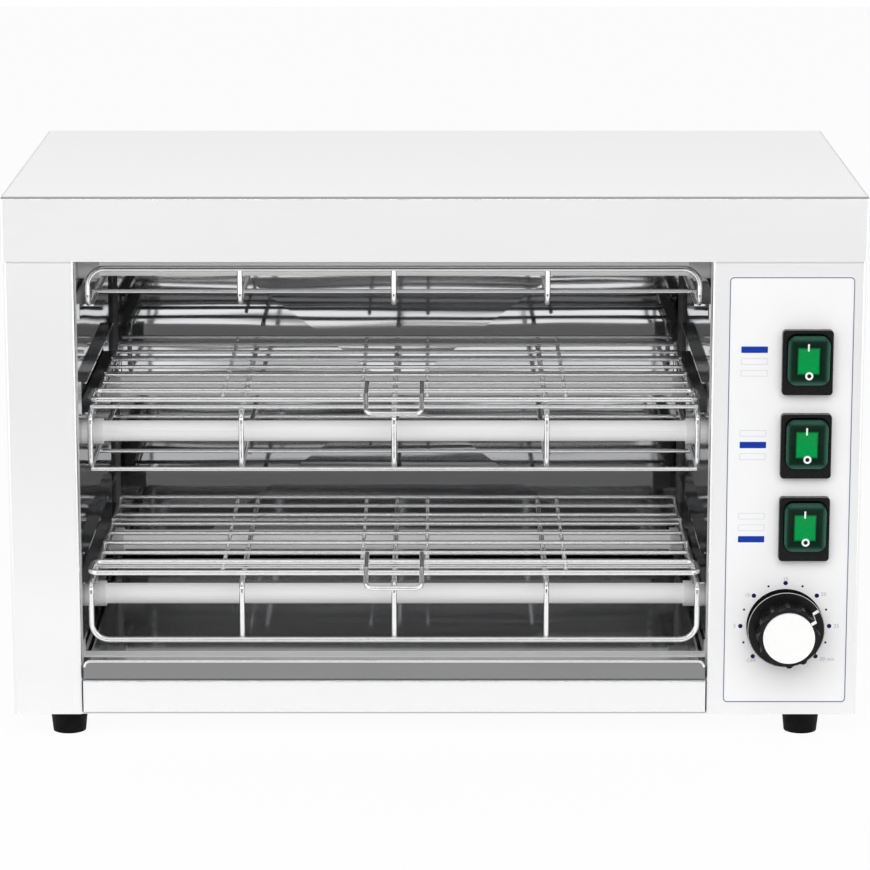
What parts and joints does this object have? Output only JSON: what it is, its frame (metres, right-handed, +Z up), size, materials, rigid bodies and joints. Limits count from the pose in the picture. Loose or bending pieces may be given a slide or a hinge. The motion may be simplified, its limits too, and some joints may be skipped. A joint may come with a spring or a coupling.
{
  "type": "salamander grill",
  "caption": "Free-standing stainless salamander grill with an open front, quartz heaters over and under wire racks that slide out, a crumb tray, rocker switches and a timer knob.",
  "frame": {"origin": "middle of the whole object in X and Y, on the surface its feet stand on", "axes": "+X to the right seen from the front, +Y from the open front to the back, +Z up"},
  "size_m": [0.4902, 0.313, 0.317],
  "materials": {
    "black_plastic": "semi-gloss",
    "black_rubber": "matt",
    "ceramic": "matt white",
    "chrome_wire": "bright plated wire",
    "green_plastic": "glossy, translucent",
    "heater_metal": "bright",
    "mirror_steel": "bright polished stainless sheet",
    "opal_quartz": "opal white quartz",
    "overlay_film": "satin film",
    "satin_steel": "satin stainless sheet",
    "white_plastic": "satin",
    "zinc_steel": "bright zinc"
  },
  "bodies": {
    "cabinet": {"top_cover": "satin_steel", "left_side_panel": "satin_steel", "right_side_panel": "satin_steel", "base_pan": "satin_steel", "front_apron": "satin_steel", "back_panel": "satin_steel", "inner_left_wall": "mirror_steel", "inner_right_wall": "mirror_steel", "inner_back_wall": "mirror_steel", "ceiling_plate": "mirror_steel", "front_cross_bar": "satin_steel", "upper_left_rail": "mirror_steel", "upper_right_rail": "mirror_steel", "lower_left_rail": "mirror_steel", "lower_right_rail": "mirror_steel", "top_left_ledge": "mirror_steel", "top_right_ledge": "mirror_steel", "left_tray_runner": "mirror_steel", "right_tray_runner": "mirror_steel", "bottom_front_tube": "opal_quartz", "bottom_rear_tube": "opal_quartz", "middle_front_tube": "opal_quartz", "middle_rear_tube": "opal_quartz", "top_front_tube": "opal_quartz", "top_rear_tube": "opal_quartz", "left_ceramic_ends": "ceramic", "right_ceramic_ends": "ceramic", "heater_cores": "heater_metal", "heater_links": "heater_metal", "heater_terminals": "heater_metal", "top_guard": "chrome_wire", "middle_guard": "chrome_wire", "middle_guard_bars": "chrome_wire", "bottom_guard": "chrome_wire", "bottom_switch_body": "black_plastic", "middle_switch_body": "black_plastic", "top_switch_body": "black_plastic", "timer_body": "zinc_steel", "timer_nut": "zinc_steel", "control_overlay": "overlay_film", "terminal_block": "white_plastic", "cable_gland": "black_plastic", "gland_nut": "black_plastic", "front_left_foot": "black_rubber", "front_right_foot": "black_rubber", "rear_left_foot": "black_rubber", "rear_right_foot": "black_rubber", "foot_screws": "zinc_steel", "casing_screws": "zinc_steel"},
    "upper_rack": {"upper_rack": "chrome_wire", "upper_rack_handle": "chrome_wire"},
    "lower_rack": {"lower_rack": "chrome_wire", "lower_rack_handle": "chrome_wire"},
    "crumb_tray": {"crumb_tray": "satin_steel"},
    "timer_knob": {"timer_knob": "black_plastic", "knob_cap": "white_plastic", "timer_shaft": "zinc_steel"},
    "bottom_rocker": {"bottom_rocker": "green_plastic"},
    "middle_rocker": {"middle_rocker": "green_plastic"},
    "top_rocker": {"top_rocker": "green_plastic"}
  },
  "joints": [
    {"name": "upper_rack_slide", "type": "slide", "parent": "cabinet", "child": "upper_rack", "axis": [0, -1, 0], "range_m": [0, 0.15]},
    {"name": "lower_rack_slide", "type": "slide", "parent": "cabinet", "child": "lower_rack", "axis": [0, -1, 0], "range_m": [0, 0.15]},
    {"name": "crumb_tray_slide", "type": "slide", "parent": "cabinet", "child": "crumb_tray", "axis": [0, -1, 0], "range_m": [0, 0.22]},
    {"name": "timer_turn", "type": "hinge", "parent": "cabinet", "child": "timer_knob", "pos_m": [0.2018, -0.1285, 0.067], "axis": [0, -1, 0], "range_deg": [-75, 195]},
    {"name": "bottom_rocker_tilt", "type": "hinge", "parent": "cabinet", "child": "bottom_rocker", "pos_m": [0.2119, -0.1275, 0.12758], "axis": [-1, 0, 0], "range_deg": [0, 12]},
    {"name": "middle_rocker_tilt", "type": "hinge", "parent": "cabinet", "child": "middle_rocker", "pos_m": [0.2119, -0.1275, 0.17618], "axis": [-1, 0, 0], "range_deg": [0, 12]},
    {"name": "top_rocker_tilt", "type": "hinge", "parent": "cabinet", "child": "top_rocker", "pos_m": [0.2119, -0.1275, 0.22479], "axis": [-1, 0, 0], "range_deg": [0, 12]}
  ]
}
